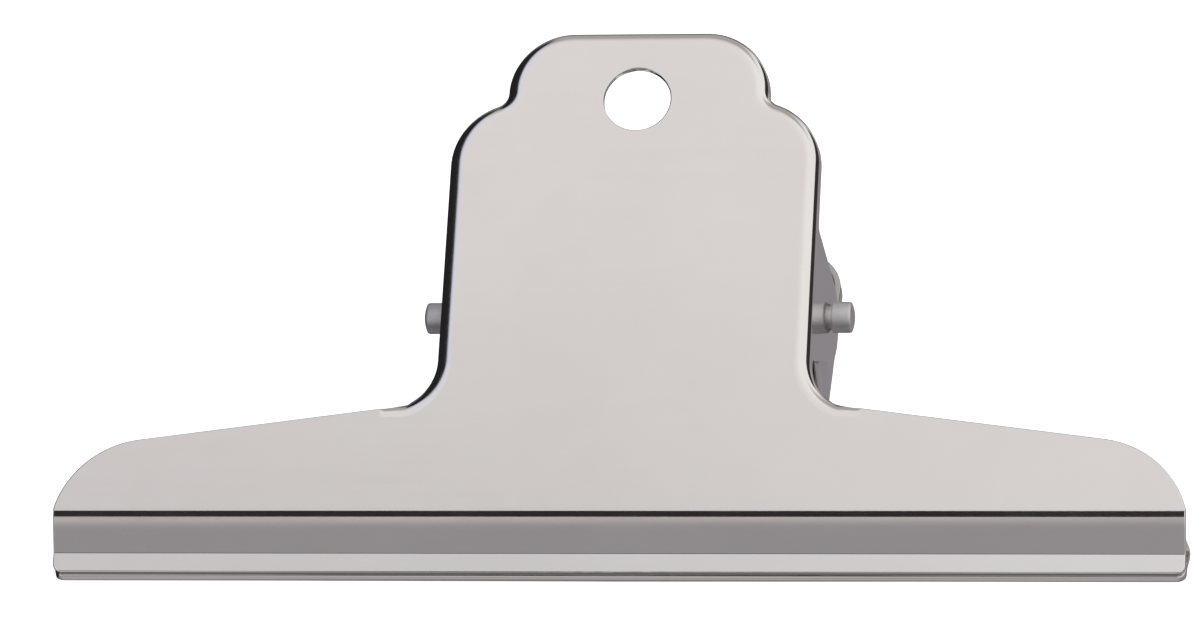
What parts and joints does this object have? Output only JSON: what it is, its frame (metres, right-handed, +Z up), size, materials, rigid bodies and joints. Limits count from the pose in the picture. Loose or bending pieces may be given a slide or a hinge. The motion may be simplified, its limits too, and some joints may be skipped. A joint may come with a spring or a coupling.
{
  "type": "bulldog clip",
  "caption": "Wide sprung paper clip of folded sheet metal, with a full-width gripping jaw, pinned ears, rolled handle tabs and a coiled torsion spring behind them.",
  "frame": {"origin": "on the rear plate's outer face, straight below the middle of the pivot pin, with the clip lying closed on its rear plate", "axes": "+X along the jaws and the pivot pin, +Y from the jaws towards the handles, +Z up out of the rear plate towards the front plate"},
  "size_m": [0.15, 0.0777, 0.0406],
  "materials": {
    "front_plate": "satin nickel plate with fine brushing across the clip",
    "rear_plate": "satin nickel plate with fine brushing across the clip",
    "pivot_pin": "bright nickel plate",
    "torsion_spring": "bright drawn spring wire"
  },
  "bodies": {
    "rear": {"rear_plate": "rear_plate", "pivot_pin": "pivot_pin", "torsion_spring": "torsion_spring"},
    "front": {"front_plate": "front_plate"}
  },
  "joints": [
    {"name": "jaw_hinge", "type": "hinge", "parent": "rear", "child": "front", "pos_m": [0, 0, 0.013], "axis": [-1, 0, 0], "range_deg": [0, 55], "stiffness_Nm_per_rad": 0.4, "springref_deg": -68.75, "deforming": ["torsion_spring"]}
  ]
}
